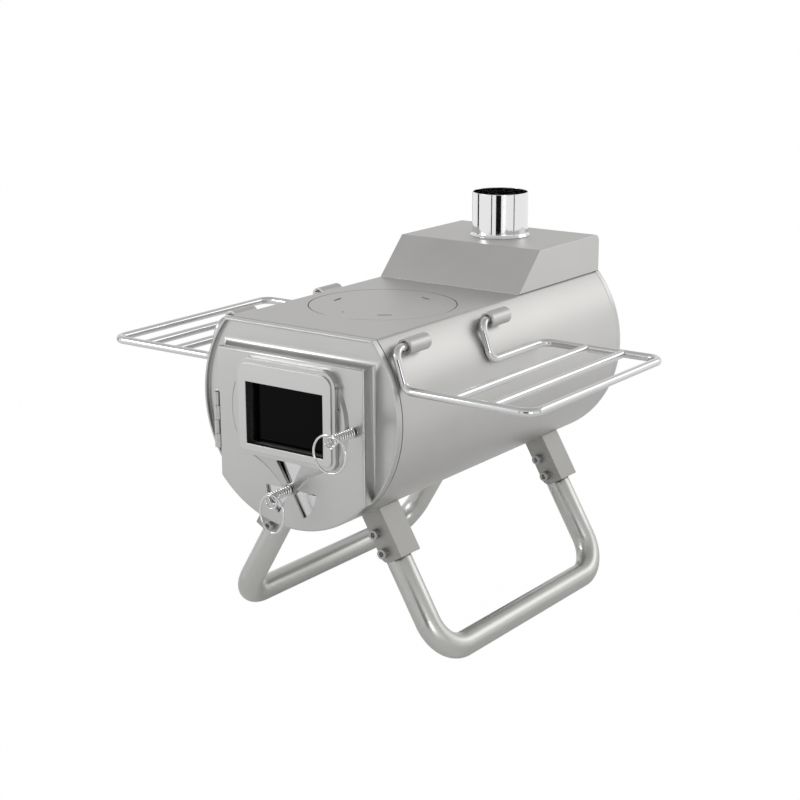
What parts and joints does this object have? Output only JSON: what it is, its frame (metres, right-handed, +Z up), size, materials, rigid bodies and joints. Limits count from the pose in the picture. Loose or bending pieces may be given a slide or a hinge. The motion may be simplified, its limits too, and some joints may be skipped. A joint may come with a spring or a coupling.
{
  "type": "tent wood stove",
  "caption": "Round-barrel wood stove on bent tube legs, with a flat cooking face and lid, smoke box and flue collar, glazed door with damper and spring handles, and wire side racks.",
  "frame": {"origin": "on the ground, under the middle of the whole stove", "axes": "+Z up, +Y towards the rear (away from the door), +X to the right when facing the door"},
  "size_m": [0.506, 0.4669, 0.4133],
  "materials": {
    "blasted_steel": "fine satin, blasted",
    "brushed_steel": "brushed",
    "satin_steel": "satin",
    "hood_steel": "satin, pressed",
    "bracket_steel": "dull satin, tumbled",
    "polished_collar": "mirror polished",
    "polished_wire": "polished",
    "leg_tube_steel": "satin",
    "bolt_steel": "bright",
    "window_glass": "smooth ceramic glass",
    "rope_seal": "matt woven rope",
    "grate_steel": "dull mill finish"
  },
  "bodies": {
    "stove": {"barrel_shell": "blasted_steel", "front_cap": "brushed_steel", "rear_cap": "brushed_steel", "lid_seat": "blasted_steel", "smoke_box": "blasted_steel", "flue_collar": "polished_collar", "door_housing": "brushed_steel", "housing_flange": "brushed_steel", "hinge_knuckles_fixed": "brushed_steel", "hinge_pin": "bolt_steel", "bracket_front_right": "bracket_steel", "bracket_front_left": "bracket_steel", "bracket_rear_right": "bracket_steel", "bracket_rear_left": "bracket_steel", "leg_bolts": "bolt_steel", "leg_nuts": "bolt_steel", "leg_right": "leg_tube_steel", "leg_left": "leg_tube_steel", "sleeve_front_right": "blasted_steel", "sleeve_front_left": "blasted_steel", "sleeve_rear_right": "blasted_steel", "sleeve_rear_left": "blasted_steel", "fire_grate": "grate_steel"},
    "door": {"door_panel": "brushed_steel", "hinge_knuckles_door": "brushed_steel", "air_hood": "hood_steel", "window_channel": "brushed_steel", "window_frame": "satin_steel", "window_gasket": "rope_seal", "window_glass": "window_glass", "glass_clips": "brushed_steel", "frame_screws": "bolt_steel"},
    "latch": {"latch_spindle": "bolt_steel", "latch_tongue": "brushed_steel", "latch_handle": "polished_wire"},
    "damper": {"damper_rotor": "polished_wire", "damper_spindle": "bolt_steel", "damper_nut": "brushed_steel", "damper_handle": "polished_wire"},
    "lid": {"cooking_lid": "blasted_steel", "lid_skirt": "blasted_steel"},
    "rack_right": {"rack_right_frame": "polished_wire", "rack_right_rails": "polished_wire"},
    "rack_left": {"rack_left_frame": "polished_wire", "rack_left_rails": "polished_wire"}
  },
  "joints": [
    {"name": "door_swing", "type": "hinge", "parent": "stove", "child": "door", "pos_m": [-0.0905, -0.1913, 0.228], "axis": [0, 0, -1], "range_deg": [0, 160]},
    {"name": "latch_turn", "type": "hinge", "parent": "door", "child": "latch", "pos_m": [0.0758, -0.1925, 0.2427], "axis": [0, 1, 0], "range_deg": [0, 90]},
    {"name": "damper_turn", "type": "hinge", "parent": "door", "child": "damper", "pos_m": [0, -0.1925, 0.174], "axis": [0, 1, 0], "range_deg": [0, 60]},
    {"name": "lid_lift", "type": "slide", "parent": "stove", "child": "lid", "axis": [0, 0, 1], "range_m": [0, 0.04]},
    {"name": "rack_right_swing", "type": "hinge", "parent": "stove", "child": "rack_right", "pos_m": [0.10389, -0.0655, 0.31824], "axis": [0, -1, 0], "range_deg": [0, 120]},
    {"name": "rack_left_swing", "type": "hinge", "parent": "stove", "child": "rack_left", "pos_m": [-0.10389, -0.0655, 0.31824], "axis": [0, 1, 0], "range_deg": [0, 120]}
  ]
}
